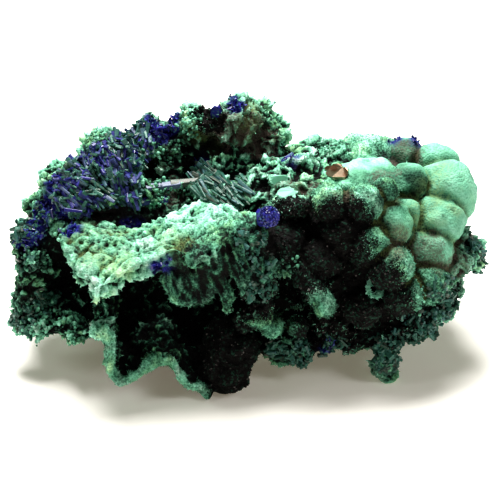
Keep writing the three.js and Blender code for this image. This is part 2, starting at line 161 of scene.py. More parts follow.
CRUSTS = [
    ((-33, -3.4, 21.4), (2.6, 2.6, 2.4), 0.32, GRAINY),
    ((-32.4, -2, 17.4), (3, 4, 4), 0.3, GRAINY),
    ((-33, -3.6, 12), (2.6, 3.4, 4.4), 0.36, GRAINY),
    ((-33.4, -4.6, 7.8), (2.6, 3, 2.2), 0.26, GRAINY),
    ((-30, -6, 8), (3.4, 3, 2), 0.26, GRAINY),
    ((-26, -8, 8), (3.2, 3, 1.8), 0.26, GRAINY),
    ((31.4, 0.6, 16.4), (3.2, 4, 4), 0.46, GRAINY),
    ((33.8, 1, 17.2), (2, 2.6, 1.6), 0.4, GRAINY),
    ((27.8, -2.6, 11.4), (4.2, 4.4, 4), 0.36, GRAINY),
    ((24, -6, 8.2), (3.8, 3.6, 3.4), 0.34, GRAINY),
    ((20.4, -9, 3.6), (2.4, 2.2, 4.6), 0.4, GRAINY),
    ((14, -6.6, 6.4), (5, 3.6, 2.6), 0.3, GRAINY),
    ((6, -7.4, 5.2), (5, 3.6, 3), 0.28, GRAINY),
    ((17.6, 1.6, 28.8), (5.4, 4.8, 2), 0.82, SMOOTH),
    ((18, 11.4, 27.6), (6, 4.4, 3), 0.74, VELVET),
    ((10, 11.4, 27.4), (5, 4, 2.8), 0.68, GRAINY),
    ((4.4, 3.4, 27), (8, 7.4, 4), 0.54, GRAINY),
    ((6, -6.4, 28.2), (3.2, 2.6, 1.6), 0.84, VELVET),
    ((-3, -9.4, 6.2), (4.4, 5.4, 4.4), 0.06, VELVET),
    ((-3.4, -12.6, 3.8), (3.6, 3, 3.6), 0.06, VELVET),
    ((7.6, -11.6, 19.8), (2.1,) * 3, 0.5, VELVET), ((8.8, -12.8, 18.2), (2.1,) * 3, 0.54, VELVET),
    ((10.2, -14, 16.6), (2.1,) * 3, 0.5, VELVET),
    ((-8.7, -13, 20.3), (4.2, 2.4, 4.2), 0.27, FIBROUS),
    ((-5.5, -12.6, 22.6), (5, 2.6, 3.6), 0.3, FIBROUS),
    ((-1.4, -11.2, 24.6), (4.4, 2.8, 4), 0.32, FIBROUS),
    ((-18, -11, 23.6), (10, 8, 2.2), 0.56, PITTED),
    ((-6.6, -11, 27), (5.6, 6, 1.6), 0.72, PITTED),
    ((-14, -16.9, 6.4), (10, 1.5, 6.6), 0.56, VELVET),
    ((-13.6, -9.6, 5.6), (9.6, 5.6, 5.4), 0.05, GRAINY),
    ((-12.6, -2, 12), (12, 8, 8), 0.0, GRAINY),
    ((-27.4, -5, 14.4), (4.6, 5, 4), 0.04, GRAINY),
]
BACK_CRUSTS = [
    ((-22, 15, 20), (8, 7, 7), 0.52, BOTRYOIDAL), ((-6, 19, 16), (9, 6, 7), 0.6, BOTRYOIDAL),
    ((12, 19, 18), (8, 6, 6), 0.44, BOTRYOIDAL), ((26, 13, 14), (7, 7, 6), 0.56, BOTRYOIDAL),
    ((-31, 8, 12), (5, 7, 6), 0.42, BOTRYOIDAL), ((2, 18, 6), (12, 5, 4), 0.32, GRAINY),
    ((-14, 16, 28), (7, 6, 5), 0.36, GRAINY), ((31, 8, 22), (5, 6, 5), 0.64, BOTRYOIDAL),
    ((-2, 15, 30), (6, 5, 4), 0.48, BOTRYOIDAL),
]
# Crust that closes the arch beside the foot: a middle and a radius.
FILLS = [((19.6, -6, 7.2), 2.9), ((17.6, -5, 5.4), 2.4)]
# Ribs of crust in front of the hollow: start, end and radius.
RIBS = [
    ((-2, -13.2, 24.2), (-0.4, -14.4, 17.7), 1.3),
    ((-4.2, -13.4, 20.6), (-2.9, -14.2, 14.9), 1.2),
    ((0.3, -12.6, 25), (0.9, -13.6, 17.8), 1),
    ((1.4, -11.2, 25.6), (2.8, -13, 18.6), 1.4),
    ((2.8, -13, 18.4), (2, -12.8, 12.4), 1.4),
    ((-0.8, -12.6, 12.2), (1.4, -12.6, 13.2), 1.9),
    ((6.6, -10.6, 21), (11, -14.6, 15.6), 1.9),
]
# Single crystals: start, end, width, depth and tint.
PRISMS = [
    ((-16.6, -1.6, 28.2), (-10.4, -1, 28.8), 2, 1.5, 0.7),
    ((-11.6, -1, 28.8), (-7.4, -0.4, 29), 1.7, 1.4, 0.1),
    ((-16.4, -2.4, 26.6), (-12.2, -2.2, 27), 2, 1.4, 1.0),
    ((-7, -1.4, 30.2), (-1.8, -4.2, 26.6), 2.1, 1.1, 0.25),
    ((-5, -0.6, 30.4), (-0.6, -3, 26.8), 1.8, 1, 0.2),
    ((-8.4, -2.4, 29), (-4.6, -5.4, 26.6), 1.7, 1, 0.25),
]
# Stains and growths on the front: across and down in the camera's frame, and the radius in
# millimetres.
AZURITE = [
    (33, 240, 2.1), (36, 226, 1.3), (56, 187, 1.9), (45, 207, 1.5), (70, 211, 1.2), (88, 152, 1),
    (106, 158, 1.4), (132, 160, 1.6), (150, 126, 1.5), (160, 134, 1.5), (172, 125, 1.2), (234, 101, 1),
    (201, 167, 1.2), (132, 226, 0.7), (162, 267, 0.9), (292, 159, 0.8), (396, 140, 1.1),
    (418, 142, 0.9), (485, 256, 1), (330, 345, 1), (70, 228, 1.3),
]
# Where thin coated blades lie like tiles, all running down to one place behind the ledge.
FAN = [
    (72, 182, 2.2), (92, 166, 2.4), (112, 150, 2.4), (98, 186, 2.2), (118, 172, 2.4), (126, 190, 1.8),
    (58, 200, 1.8), (138, 146, 1.8), (84, 202, 1.6), (132, 134, 1.4), (110, 198, 1.6),
]
FAN_FOOT = (-16, -5, 23.5)
# The way that the dark blades run.
DARK_BLADES_RUN = ((-6, -1, 30), (1.5, -8, 25))
DARK_BLADES = [
    (204, 176, 1.6), (214, 182, 1.8), (224, 190, 1.8), (232, 198, 1.4), (216, 194, 1.4),
    (240, 186, 1.2),
]
CLUSTERS = [
    (150, 150, 1.5), (166, 156, 1.6), (178, 150, 1.2), (190, 114, 1.6), (182, 132, 1.5),
    (162, 194, 1.5), (180, 190, 1), (190, 196, 1), (196, 188, 0.9), (168, 184, 1), (96, 134, 1.2),
    (40, 262, 1.6), (60, 236, 0.9), (34, 330, 1.8), (54, 316, 1.8), (76, 332, 1.4), (424, 298, 1.6),
    (286, 264, 1.2), (330, 150, 1.4),
]
TENORITE = [
    (294, 214, 1.7), (284, 222, 1.8), (290, 240, 2.4), (308, 228, 2.6), (316, 244, 2.8),
    (334, 222, 2.1), (350, 222, 1.8), (340, 236, 2.6), (350, 252, 2.4), (328, 258, 2.6), (334, 268, 2),
    (352, 272, 2.2), (296, 284, 1.4), (340, 290, 2.4), (346, 312, 2.6), (368, 308, 2.6),
    (322, 328, 2.4), (392, 312, 2), (284, 298, 1.6), (302, 314, 1.6), (302, 212, 1.2), (218, 345, 4.2),
    (236, 375, 3.6), (256, 300, 1.6), (384, 282, 1.8), (388, 296, 1.8), (404, 330, 1.6),
    (348, 332, 2.2), (472, 214, 1.2), (210, 120, 0.9),
]
OCHRE = [
    (168, 110, 1.1), (196, 128, 1.6), (252, 116, 1.4), (99, 258, 1.1), (80, 228, 1.1), (123, 236, 0.9),
    (174, 241, 1.1), (444, 169, 0.9), (431, 190, 0.9), (425, 213, 0.8), (416, 224, 0.8),
    (458, 208, 0.8), (400, 240, 0.8), (150, 150, 1), (120, 262, 1.1),
]
BROWN_DUST = [
    (244, 130, 1.6), (226, 132, 1.6), (208, 108, 1.2), (262, 140, 1.4), (405, 155, 1.7), (175, 192, 1),
    (434, 254, 1.8), (457, 264, 1.8), (398, 240, 0.9), (470, 216, 1.6), (290, 188, 1.1),
    (342, 206, 1.2), (312, 190, 0.9), (172, 110, 1), (223, 132, 1.2), (384, 176, 0.9),
]
# Where short dark teal crystals bristle.
BRISTLE = [
    (388, 366, 1.1), (378, 352, 1.6), (398, 350, 1.8), (416, 342, 2), (434, 326, 2.4), (452, 306, 2.2),
    (468, 288, 2), (480, 262, 1.8), (478, 244, 1.4), (444, 290, 1.8), (410, 318, 1.8), (300, 356, 1.6),
    (334, 346, 1.6), (276, 352, 1.4), (22, 322, 1.8), (24, 266, 1.4), (44, 300, 1.6), (252, 244, 1.6),
    (258, 268, 1.8), (262, 292, 1.6),
]
# Growths all round the lump, by their turn from the front and their rise, in degrees, and radius.
AROUND = {
    "azurite": [
        (150, 20, 2.6), (205, 35, 2), (118, 5, 1.6), (250, 15, 2.4), (182, -5, 1.4), (168, 38, 1.5),
    ],
    "tenorite": [
        (165, -12, 3), (135, 30, 2.6), (222, 2, 3), (195, 12, 1.8), (275, -8, 2.6), (95, -14, 2.6),
        (240, -20, 2.6),
    ],
    "ochre": [(172, 26, 1.8), (232, 24, 1.6), (110, 20, 1.6), (206, 2, 1.4)],
    "brown": [(188, 34, 2.2), (145, 2, 2), (214, 18, 1.8), (82, 8, 1.6), (262, 28, 1.8)],
    "clusters": [
        (158, 6, 2), (200, -8, 2.2), (240, 32, 1.8), (128, 16, 1.8), (260, 6, 1.8), (178, 20, 1.6),
    ],
    "bristle": [
        (176, 10, 2.2), (226, -14, 2.4), (104, -4, 2.2), (285, 10, 2.2), (148, -16, 2.2), (192, -22, 2),
    ],
}
# Each growth or stain: its places on the front, the softness of its edge in millimetres, and how
# far that edge is torn on the front, from 0 to 1.
GROWTHS = {
    "azurite": (AZURITE, 0.5, 0),
    "tenorite": (TENORITE, 1.9, 0),
    "ochre": (OCHRE, 1.4, 0.5),
    "fan": (FAN, 0.8, 0),
    "blades": (DARK_BLADES, 0.5, 0),
    "clusters": (CLUSTERS, 0.5, 0),
    "brown": (BROWN_DUST, 1.6, 0.5),
    "bristle": (BRISTLE, 0.8, 0),
}
# Single growths by their place in the camera's frame.
AZURITE_BALL_AT = (267, 217)
TUFT_RING_AT = (371, 290)
# Plates: place, reach, thickness, lean, slot, tint and fold.
PLATES = {
    "azurite_facet": ((219, 117), (1.2, 2.3), 0.5, (-0.5, -1.6, -0.3), "azurite", 0.42, 0),
    "pale_plate_left": ((279, 180), (1.5, 0.9), 0.3, (0.1, -0.5, 0.3), "malachite", 0.8, 0),
    "pale_plate_right": ((287, 194), (1.6, 1), 0.3, (0.2, -0.4, 0.4), "malachite", 0.84, 0),
    "copper_chip": ((341, 173), (2.1, 1.2), 0.3, (0.1, -0.6, 0.2), "copper", 0.5, 0.5),
}
# The lip of the floor crust, which is pushed out in waves: its middle and half sizes.
LIP = ((-14, -16.9, 6.4), (11, 2.6, 8))
# The tints of coated blades, which are picked at random.
FAN_TINTS = [0.16, 0.26, 0.36, 0.46, 0.58, 0.7, 0.9, 1]
DARK_BLADE_TINTS = [0.12, 0.2, 0.26, 0.32, 0.4, 0.5]
BRISTLE_TINTS = [0.12, 0.16, 0.2, 0.26, 0.32, 0.38, 0.46]
# How many small crystals each growth has.
NUMBERS = {
    "azurite_blades": 900, "coated_fan": 1050, "dark_blades": 260, "teal_bristle": 1500,
    "azurite_ball": 420, "pale_tuft_ring": 240, "malachite_grains": 1300, "malachite_tufts": 6500,
    "malachite_velvet": 9000, "tenorite_granules": 2400,
}
# Patches that are paler or darker than the crust round them: across, down, radius and tone.
# Most are the crust's own colour; the near-black ones in crevices, gaps and holes are painted shade.
PATCHES_AND_PAINTED_SHADE = [
    (240, 108, 2.6, 0.52), (222, 116, 2, 0.3), (256, 122, 2, 0.28), (246, 134, 2.4, 0.14),
    (232, 136, 2, 0.12), (200, 112, 2.2, 0.62), (180, 106, 2, 0.58), (206, 130, 1.8, 0.12),
    (198, 158, 2.6, 0.03), (188, 150, 1.8, 0.1), (216, 150, 2, 0.3), (240, 160, 3, 0.52),
    (262, 168, 3.2, 0.54), (290, 178, 2.6, 0.62), (310, 168, 2.4, 0.5), (328, 150, 2.2, 0.46),
    (300, 146, 2.2, 0.42), (370, 160, 3.2, 0.84), (345, 138, 2.4, 0.78), (372, 136, 1.8, 0.7),
    (390, 174, 1.8, 0.3), (372, 178, 2.2, 0.42), (404, 155, 1.8, 0.3), (390, 194, 1.6, 0.04),
    (419, 182, 1.3, 0.06), (228, 196, 2.4, 0.4), (202, 216, 3.4, 0.76), (226, 206, 1.6, 0.74),
    (112, 266, 2.6, 0.74), (86, 244, 3, 0.56), (64, 240, 1.8, 0.3), (150, 244, 2.4, 0.74),
    (190, 262, 3.2, 0.28), (212, 284, 3, 0.22), (240, 250, 3, 0.26), (262, 276, 3.4, 0.26),
    (254, 322, 2.2, 0.34), (180, 300, 2, 0.3), (36, 290, 3.6, 0.16), (60, 320, 3, 0.3),
    (28, 322, 3, 0.36), (94, 200, 2, 0.14), (120, 210, 3, 0.01), (146, 212, 2.6, 0.01),
    (98, 214, 2, 0.01), (440, 320, 4, 0.26), (400, 330, 4, 0.12), (360, 300, 3, 0.06),
    (480, 262, 2, 0.46), (386, 366, 3, 0.36), (330, 310, 3, 0.05), (280, 290, 2.6, 0.08),
    (320, 270, 2, 0.06), (375, 230, 2.4, 0.5), (401, 254, 2, 0.52), (319, 296, 1.8, 0.54),
    (308, 281, 1.7, 0.5), (328, 308, 1.7, 0.5), (272, 336, 1.2, 0.46), (293, 332, 1.2, 0.4),
    (60, 270, 3, 0.06), (44, 256, 2.4, 0.12), (418, 282, 2, 0.42), (321, 197, 1.8, 0.52),
    (359, 195, 1.8, 0.56), (286, 264, 1.4, 0.3), (300, 345, 3, 0.14), (350, 345, 2.6, 0.18),
]


def place(at):
    """A place in millimetres, in the model's own frame and in metres."""
    return (Vector(at) - ORIGIN) * MM


def seen(tree, across, down):
    """Where the camera's line through this place of its frame meets the lump, in millimetres."""
    away = Vector((0, -math.cos(ELEVATION), math.sin(ELEVATION)))
    up = Vector((0, math.sin(ELEVATION), math.cos(ELEVATION)))
    half = HALF_FRAME * camera.data.lens / (camera.data.sensor_width / 2)
    line = -away * half + Vector((1, 0, 0)) * (across - HALF_FRAME) + up * (HALF_FRAME - down)
    hit = tree.ray_cast(camera.location, line.normalized())[0]
    return None if hit is None else tuple(hit / MM + ORIGIN)


# ---- mesh tools ---------------------------------------------------------------------------


def mesh_of(bm, name):
    mesh = bpy.data.meshes.new(name)
    bm.to_mesh(mesh)
    bm.free()
    return mesh


def link(name, mesh):
    piece = bpy.data.objects.new(name, mesh)
    bpy.context.scene.collection.objects.link(piece)
    return piece


def modified(mesh, *modifiers):
    """The mesh with these modifiers applied, each a type and its settings."""
    piece = link("shaping", mesh)
    for kind, settings in modifiers:
        modifier = piece.modifiers.new(kind.lower(), kind)
        for key, value in settings.items():
            setattr(modifier, key, value)
    applied = bpy.data.meshes.new_from_object(piece.evaluated_get(bpy.context.evaluated_depsgraph_get()))
    bpy.data.objects.remove(piece)
    return applied


def rod(bm, start, end, radius):
    """A closed rod between two places, thinner at its end."""
    start, end = place(start), place(end)
    along = end - start
    turn = along.to_track_quat("Z", "Y").to_matrix().to_4x4()
    bmesh.ops.create_cone(
        bm, cap_ends=True, segments=ROD_SIDES, radius1=radius * MM, radius2=radius * ROD_TIP * MM,
        depth=along.length, matrix=Matrix.Translation((start + end) / 2) @ turn,
    )


def as_array(mesh, what="co"):
    """The vertices' places, or their normals, in rows of three."""
    values = np.empty(len(mesh.vertices) * 3, dtype=np.float32)
    source, key = (mesh.vertices, "co") if what == "co" else (mesh.vertex_normals, "vector")
    source.foreach_get(key, values)
    return values.reshape(-1, 3)


def tree_of(mesh):
    """The mesh as a tree that lines can be cast at."""
    shape = bmesh.new()
    shape.from_mesh(mesh)
    tree = BVHTree.FromBMesh(shape)
    shape.free()
    return tree


def tinted(mesh, tint):
    values = mesh.attributes.get("tint") or mesh.attributes.new("tint", "FLOAT", "POINT")
    values.data.foreach_set("value", [tint] * len(mesh.vertices))
    return mesh


def finish_piece(name, mesh, material, smooth=True):
    piece = link(name, mesh)
    mesh.materials.clear()
    mesh.materials.append(material)
    mesh.polygons.foreach_set("use_smooth", [smooth] * len(mesh.polygons))
    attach(piece, "root")
    return piece


# ---- the body -----------------------------------------------------------------------------


def body_shape():
    """The lump with its balls and ribs made round, as one closed skin."""
    bm = bmesh.new()
    bm.from_mesh(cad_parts[MALACHITE_NODE].data)
    bmesh.ops.remove_doubles(bm, verts=bm.verts, dist=WELD * MM)
    rough = modified(
        mesh_of(bm, "rough"),
        ("REMESH", {"mode": "VOXEL", "voxel_size": ROUGH * MM}),
        ("SMOOTH", {"factor": 0.5, "iterations": 6}),
    )
    bm = bmesh.new()
    bm.from_mesh(rough)
    for at, radius, _tone, _kind in BALLS:
        bmesh.ops.create_icosphere(
            bm, subdivisions=4, radius=radius * 1.02 * MM, matrix=Matrix.Translation(place(at))
        )
    for at, radius in FILLS:
        bmesh.ops.create_icosphere(
            bm, subdivisions=3, radius=radius * MM, matrix=Matrix.Translation(place(at))
        )
    for start, end, radius in RIBS:
        rod(bm, start, end, radius)
    return modified(
        mesh_of(bm, "joined"),
        ("REMESH", {"mode": "VOXEL", "voxel_size": FINE * MM}),
        ("SMOOTH", {"factor": 0.5, "iterations": 3}),
    )


def wandering(points, size, reach, seed):
    """How far each point, in millimetres, strays for a ragged edge."""
    shift = Vector((seed * 17.3, seed * 5.1, seed * 9.7))
    return np.array([noise.noise_vector(Vector(p) / size + shift) for p in points]) * reach


def nearness(points, at, size, soft):
    """From 1 inside the ellipsoid to 0 outside it, over a soft edge in millimetres."""
    out = (np.linalg.norm((points - np.array(at)) / np.array(size), axis=1) - 1) * (sum(size) / 3)
    return 1 / (1 + (np.maximum(out, 0) / soft) ** 4)


def round_about(tree, turn, rise):
    """Where a line from outside towards the lump's middle meets it."""
    turn, rise = math.radians(turn), math.radians(rise)
    out = Vector((math.sin(turn) * math.cos(rise), -math.cos(turn) * math.cos(rise), math.sin(rise)))
    hit = tree.ray_cast(place(MIDDLE) + out * OUTSIDE, -out)[0]
    return None if hit is None else tuple(hit / MM + ORIGIN)


def spots(tree, ragged, torn, name):
    """From 1 in this growth's spots to 0 outside them: on the front, and more torn all round."""
    places, soft, tear = GROWTHS[name]
    front = ragged + tear * (torn - ragged)
    marks = [(seen(tree, across, down), r, front) for across, down, r in places]
    marks += [(round_about(tree, turn, rise), r, torn) for turn, rise, r in AROUND.get(name, ())]
    return np.max([nearness(edge, at, (r, r, r), soft) for at, r, edge in marks if at], axis=0)


def softened(values, pairs, times):
    """Each vertex's value shared with its neighbours, this many times."""
    count = len(values)
    ends = np.concatenate((pairs[:, 0], pairs[:, 1]))
    others = np.concatenate((pairs[:, 1], pairs[:, 0]))
    number = np.maximum(np.bincount(ends, minlength=count), 1)
    for _ in range(times):
        values = np.stack([np.bincount(ends, values[others, k], count) / number for k in range(3)], axis=1)
    return values


def relief(mesh, times):
    """How far each vertex stands out of the surface round it, about -2 in a crevice to 2 on a crest."""
    pairs = np.empty(len(mesh.edges) * 2, dtype=np.int32)
    mesh.edges.foreach_get("vertices", pairs)
    places = as_array(mesh).astype(np.float64)
    level = softened(places, pairs.reshape(-1, 2), times)
    out = np.sum((places - level) * as_array(mesh, "normal"), axis=1)
    return np.clip((out - out.mean()) / out.std(), -2.4, 2.4)


def fields(mesh):
    """The tone, the kinds of surface and the minerals at each vertex of the body."""
    points = as_array(mesh) / MM + np.array(ORIGIN)
    tree = tree_of(mesh)
    ragged = points + wandering(points, 2.2, 1.3, 1) + wandering(points, 0.8, 0.4, 2)
    torn = ragged + wandering(points, 3.6, 3.4, 3) + wandering(points, 1.3, 1.2, 4)
    whole = np.full(len(points), GROUND_STRENGTH)
    tone = whole * 0.5
    kinds = np.zeros((len(HEIGHTS), len(points)))
    kinds[GRAINY] += GROUND_STRENGTH
    balls = [(at, (radius,) * 3, shade, kind) for at, radius, shade, kind in BALLS]
    for crusts, strength in ((ORE, ORE_STRENGTH), (balls + CRUSTS + BACK_CRUSTS, 1)):
        for at, size, shade, kind in crusts:
            weight = nearness(ragged, at, size, 0.9) * strength
            whole += weight
            tone += weight * shade
            kinds[kind] += weight
    kinds /= whole
    # Patches of the crust's own colour, and near-black painted shade in crevices, gaps and holes.
    for across, down, radius, shade in PATCHES_AND_PAINTED_SHADE:
        at = seen(tree, across, down)
        if at:
            weight = PATCH_STRENGTH * nearness(ragged, at, (radius,) * 3, 0.7)
            whole += weight
            tone += weight * shade
    tone /= whole
    gaps = [np.linalg.norm(points - np.array(at), axis=1) - radius for at, radius, _tone, _kind in BALLS]
    gaps = np.sort(gaps, axis=0)
    crease = np.clip(1 - (gaps[1] - gaps[0]) / 0.9, 0, 1) * (np.abs(gaps[0]) < 1)
    found = {"tone": tone, "crease": crease}
    found |= {name: spots(tree, ragged, torn, name) for name in GROWTHS}
    return points, kinds, found


def grains(point, size):
    """How high a rounded grain stands at this point, from 0 in the gaps to 1."""
    near = noise.voronoi(point / size)[0]
    return max(0.0, min(1.0, (near[1] - near[0]) * 1.6))


def crags(point, size):
    """How high broken stone stands at this point, where each block has one tilted flat face."""
    block = noise.voronoi(point / size)[1][0]
    tilt = noise.cell_vector(block * 9.1) - Vector((0.5, 0.5, 0.5))
    return 2 * (point / size - block).dot(tilt) + 0.5 * tilt.x


def bubbles(point, size):
    """How high a rounded ball stands at this point, from 0 between the balls to 1 on top."""
    near = noise.voronoi(point / size)[0][0]
    return math.sqrt(max(0.0, 1 - (near / 0.78) ** 2))


def grainy_height(p):
    point = Vector(p)
    blocks = 0.95 * crags(point, 2.6) + 0.4 * crags(point, 1.05)
    return blocks + 0.18 * grains(point, 0.9) + 0.12 * grains(point, 0.5) - 0.36


def velvet_height(p):
    point = Vector(p)
    lumps = 0.3 * noise.noise(point / 2.1)
    return lumps + 0.16 * grains(point, 0.7) + 0.12 * noise.noise(point / 0.45) - 0.06


def pitted_height(p):
    point = Vector(p)
    pit = max(0.0, noise.noise(point / 1.5) - 0.24) + 0.8 * max(0.0, noise.noise(point / 0.62) - 0.24)
    return 0.2 * grains(point, 0.9) + 0.1 * noise.noise(point / 0.4) - 1.9 * pit


def fibrous_height(p):
    fibre = Vector((p[0] + 0.25 * p[2], p[1], 0.22 * p[2]))
    ridge = 1 - 2 * abs(noise.noise(fibre / 1.3))
    return 0.5 * ridge * ridge + 0.3 * noise.noise(fibre / 0.5) - 0.35


def botryoidal_height(p):
    point = Vector(p)
    return 1.1 * bubbles(point, 3.4) + 0.34 * bubbles(point, 1.5) + 0.06 * grains(point, 0.5) - 1.0


def smooth_height(p):
    point = Vector(p)
    lobes = 0.55 * noise.noise(point / 2.7) + 0.22 * noise.noise(point / 1.3)
    return lobes + 0.05 * grains(point, 0.5)


# How far each kind of surface stands out at a place, in millimetres.
HEIGHTS = {
    GRAINY: grainy_height, VELVET: velvet_height, PITTED: pitted_height,
    FIBROUS: fibrous_height, BOTRYOIDAL: botryoidal_height, SMOOTH: smooth_height,
}


def height_of(p, kinds, found, i):
    """How far this vertex moves along its normal, in millimetres."""
    point = Vector(p)
    broken = kinds[GRAINY][i] + 0.7 * kinds[PITTED][i] + 0.3 * kinds[FIBROUS][i]
    lift = (0.08 + 0.3 * broken) * noise.fractal(point / 2.3, 0.8, 2.1, 3)
    lift -= 0.55 * broken * max(0.0, 0.14 - abs(noise.noise(point / 2.8))) / 0.14
    if found["tenorite"][i] > 0.3:
        lift += found["tenorite"][i] * (0.5 * grains(point, 0.95) + 0.3 * noise.noise(point / 1.6) - 0.2)
    for kind, height in HEIGHTS.items():
        if kinds[kind][i] > 0.05:
            lift += kinds[kind][i] * height(p)
    return lift - 0.45 * found["crease"][i]


def carve(mesh, points, kinds, found):
    """Moves each vertex along its normal by its own kind of surface."""
    moved = np.array([height_of(p, kinds, found, i) for i, p in enumerate(points)])
    moved *= np.clip((points[:, 2] - 0.1) / 1.2, 0, 1)
    places = (points + as_array(mesh, "normal") * moved[:, None] - np.array(ORIGIN)) * MM
    wave = [0.9 + 1.5 * noise.noise(Vector((p[0] / 2.6, 0, p[2] / 2.6))) for p in points]
    places[:, 1] += nearness(points, *LIP, 1) * MM * wave
    places[:, 2] = np.maximum(places[:, 2], 0)
    mesh.vertices.foreach_set("co", places.astype(np.float32).ravel())
    mesh.update()


def keep(mesh, found):
    for name, values in found.items():
        mesh.attributes.new(name, "FLOAT", "POINT").data.foreach_set("value", values.astype(np.float32))


body_mesh = body_shape()
points, kinds, found = fields(body_mesh)
carve(body_mesh, points, kinds, found)
# Painted shade and highlight: crevices and the creases between the balls are painted darker, and crests a
# little paler.
painted_shade_and_highlight = sum(share * relief(body_mesh, times) for times, share in PAINTED_RELIEF_SHADE)
painted_shade_and_highlight = np.where(painted_shade_and_highlight > 0, 0.75, 1.8) * painted_shade_and_highlight * (1 + 0.7 * kinds[GRAINY]) - 0.12 * found["crease"]
# Painted shade under the fan: the crust beneath its blades is painted darker.
painted_shade_under_fan = 0.9 * found["fan"] * np.maximum(found["tone"] - 0.1, 0)
found["tone"] += painted_shade_and_highlight * (1 - 0.5 * kinds[SMOOTH]) - painted_shade_under_fan
surfaces = {"grainy": GRAINY, "velvet": VELVET, "fibrous": FIBROUS, "smooth": SMOOTH}
# The stored tone holds this painted shade and highlight as well as the crust's own tone.
keep(body_mesh, found | {name: kinds[kind] for name, kind in surfaces.items()})
body_mesh.calc_loop_triangles()
count = len(body_mesh.loop_triangles)
if count > MOST_TRIANGLES:
    body_mesh = modified(body_mesh, ("DECIMATE", {"ratio": MOST_TRIANGLES / count}))

# ---- materials ----------------------------------------------------------------------------


class Nodes:
    """Shorthand for the nodes of one tree."""

    def __init__(self, tree):
        self.tree = tree

    def add(self, kind, inputs=None, **settings):
        node = self.tree.nodes.new(kind)
        for key, value in settings.items():
            setattr(node, key, value)
        for key, value in (inputs or {}).items():
            if isinstance(value, bpy.types.NodeSocket):
                self.tree.links.new(value, node.inputs[key])
            else:
                node.inputs[key].default_value = value
        return node

    def math(self, operation, a, b=0.0, c=0.0):
        return self.add("ShaderNodeMath", {0: a, 1: b, 2: c}, operation=operation).outputs[0]

    def blend(self, share, under, over, how="MIX"):
        inputs = {0: share}
        for key, value in ((6, under), (7, over)):
            inputs[key] = value if isinstance(value, bpy.types.NodeSocket) else (*value, 1)
        return self.add("ShaderNodeMix", inputs, data_type="RGBA", blend_type=how).outputs[2]

    def spread(self, value, low, high, to_low=0.0, to_high=1.0):
        return self.add(
            "ShaderNodeMapRange", {0: value, 1: low, 2: high, 3: to_low, 4: to_high}, clamp=True
        ).outputs[0]

    def ramp(self, value, stops):
        node = self.add("ShaderNodeValToRGB", {0: value})
        steps = node.color_ramp.elements
        while len(steps) < len(stops):
            steps.new(1)
        for step, (at, colour) in zip(steps, stops):
            step.position = at
            step.color = (*colour, 1)
        return node.outputs[0]

    def stored(self, name):
        return self.add("ShaderNodeAttribute", attribute_name=name).outputs["Fac"]

    def here(self):
        return self.add("ShaderNodeTexCoord").outputs["Object"]


def effect(name, inputs, outputs, build):
    """A node group with named inputs and outputs, filled in by build."""
    group = bpy.data.node_groups.new(name, "ShaderNodeTree")
    for label, kind, value in inputs:
        group.interface.new_socket(label, in_out="INPUT", socket_type=kind).default_value = value
    for label, kind in outputs:
        group.interface.new_socket(label, in_out="OUTPUT", socket_type=kind)
    nodes = Nodes(group)
    entry, leave = group.nodes.new("NodeGroupInput"), group.nodes.new("NodeGroupOutput")
    for label, socket in build(nodes, entry.outputs).items():
        group.links.new(socket, leave.inputs[label])
    return group


def build_grain(nodes, given):
    """Crystalline grain: coarse mottling and fine grains, as one value and one height."""
    where = nodes.here()
    coarse = nodes.add(
        "ShaderNodeTexNoise",
        {"Vector": where, "Scale": given["Coarse scale"], "Detail": 5.0, "Roughness": 0.62},
    ).outputs[0]
    fine = nodes.add("ShaderNodeTexVoronoi", {"Vector": where, "Scale": given["Fine scale"]}).outputs[0]
    value = nodes.math("MULTIPLY_ADD", fine, 0.35, nodes.math("MULTIPLY", coarse, 0.75))
    return {"Value": value, "Height": nodes.math("SUBTRACT", coarse, nodes.math("MULTIPLY", fine, 0.6))}


def build_speckle(nodes, given):
    """Scattered bright crystal faces: a mask of a few small cells."""
    cells = nodes.add(
        "ShaderNodeTexVoronoi", {"Vector": nodes.here(), "Scale": given["Scale"]}, feature="F1"
    )
    pick = nodes.add("ShaderNodeSeparateColor", {0: cells.outputs["Color"]}).outputs[0]
    return {"Mask": nodes.math("GREATER_THAN", pick, given["Threshold"])}


grain = effect(
    "crystal grain",
    [("Coarse scale", "NodeSocketFloat", 260.0), ("Fine scale", "NodeSocketFloat", 2600.0)],
    [("Value", "NodeSocketFloat"), ("Height", "NodeSocketFloat")],
    build_grain,
)
speckle = effect(
    "crystal speckle",
    [("Scale", "NodeSocketFloat", 2400.0), ("Threshold", "NodeSocketFloat", 0.9)],
    [("Mask", "NodeSocketFloat")],
    build_speckle,
)

BLACK_GREEN = (0.004, 0.011, 0.008)
DEEP_GREEN = (0.019, 0.072, 0.046)
GREEN = (0.085, 0.27, 0.17)
LIGHT_GREEN = (0.2, 0.53, 0.36)
MINT = (0.4, 0.82, 0.64)
NIGHT_BLUE = (0.006, 0.006, 0.04)
BLUE = (0.015, 0.015, 0.17)
VIOLET = (0.05, 0.05, 0.36)
DEEP_VIOLET = (0.026, 0.026, 0.2)
BLUE_GREY = (0.065, 0.1, 0.18)
SOOT = (0.003, 0.003, 0.003)
RUST_BLACK = (0.0035, 0.0028, 0.0026)
GLINT_GREY = (0.15, 0.14, 0.132)
OCHRE_TONE = (0.2, 0.27, 0.09)
BROWN = (0.11, 0.082, 0.068)
MOSS = (0.016, 0.08, 0.055)
TEAL = (0.045, 0.16, 0.12)
COPPER_CRACK = (0.03, 0.016, 0.01)
COPPER_DULL = (0.3, 0.15, 0.085)
COPPER_BRIGHT = (0.62, 0.47, 0.34)
WARM_CAST = (1.26, 0.98, 0.76)
GREY_CAST = (1.3, 0.9, 0.98)
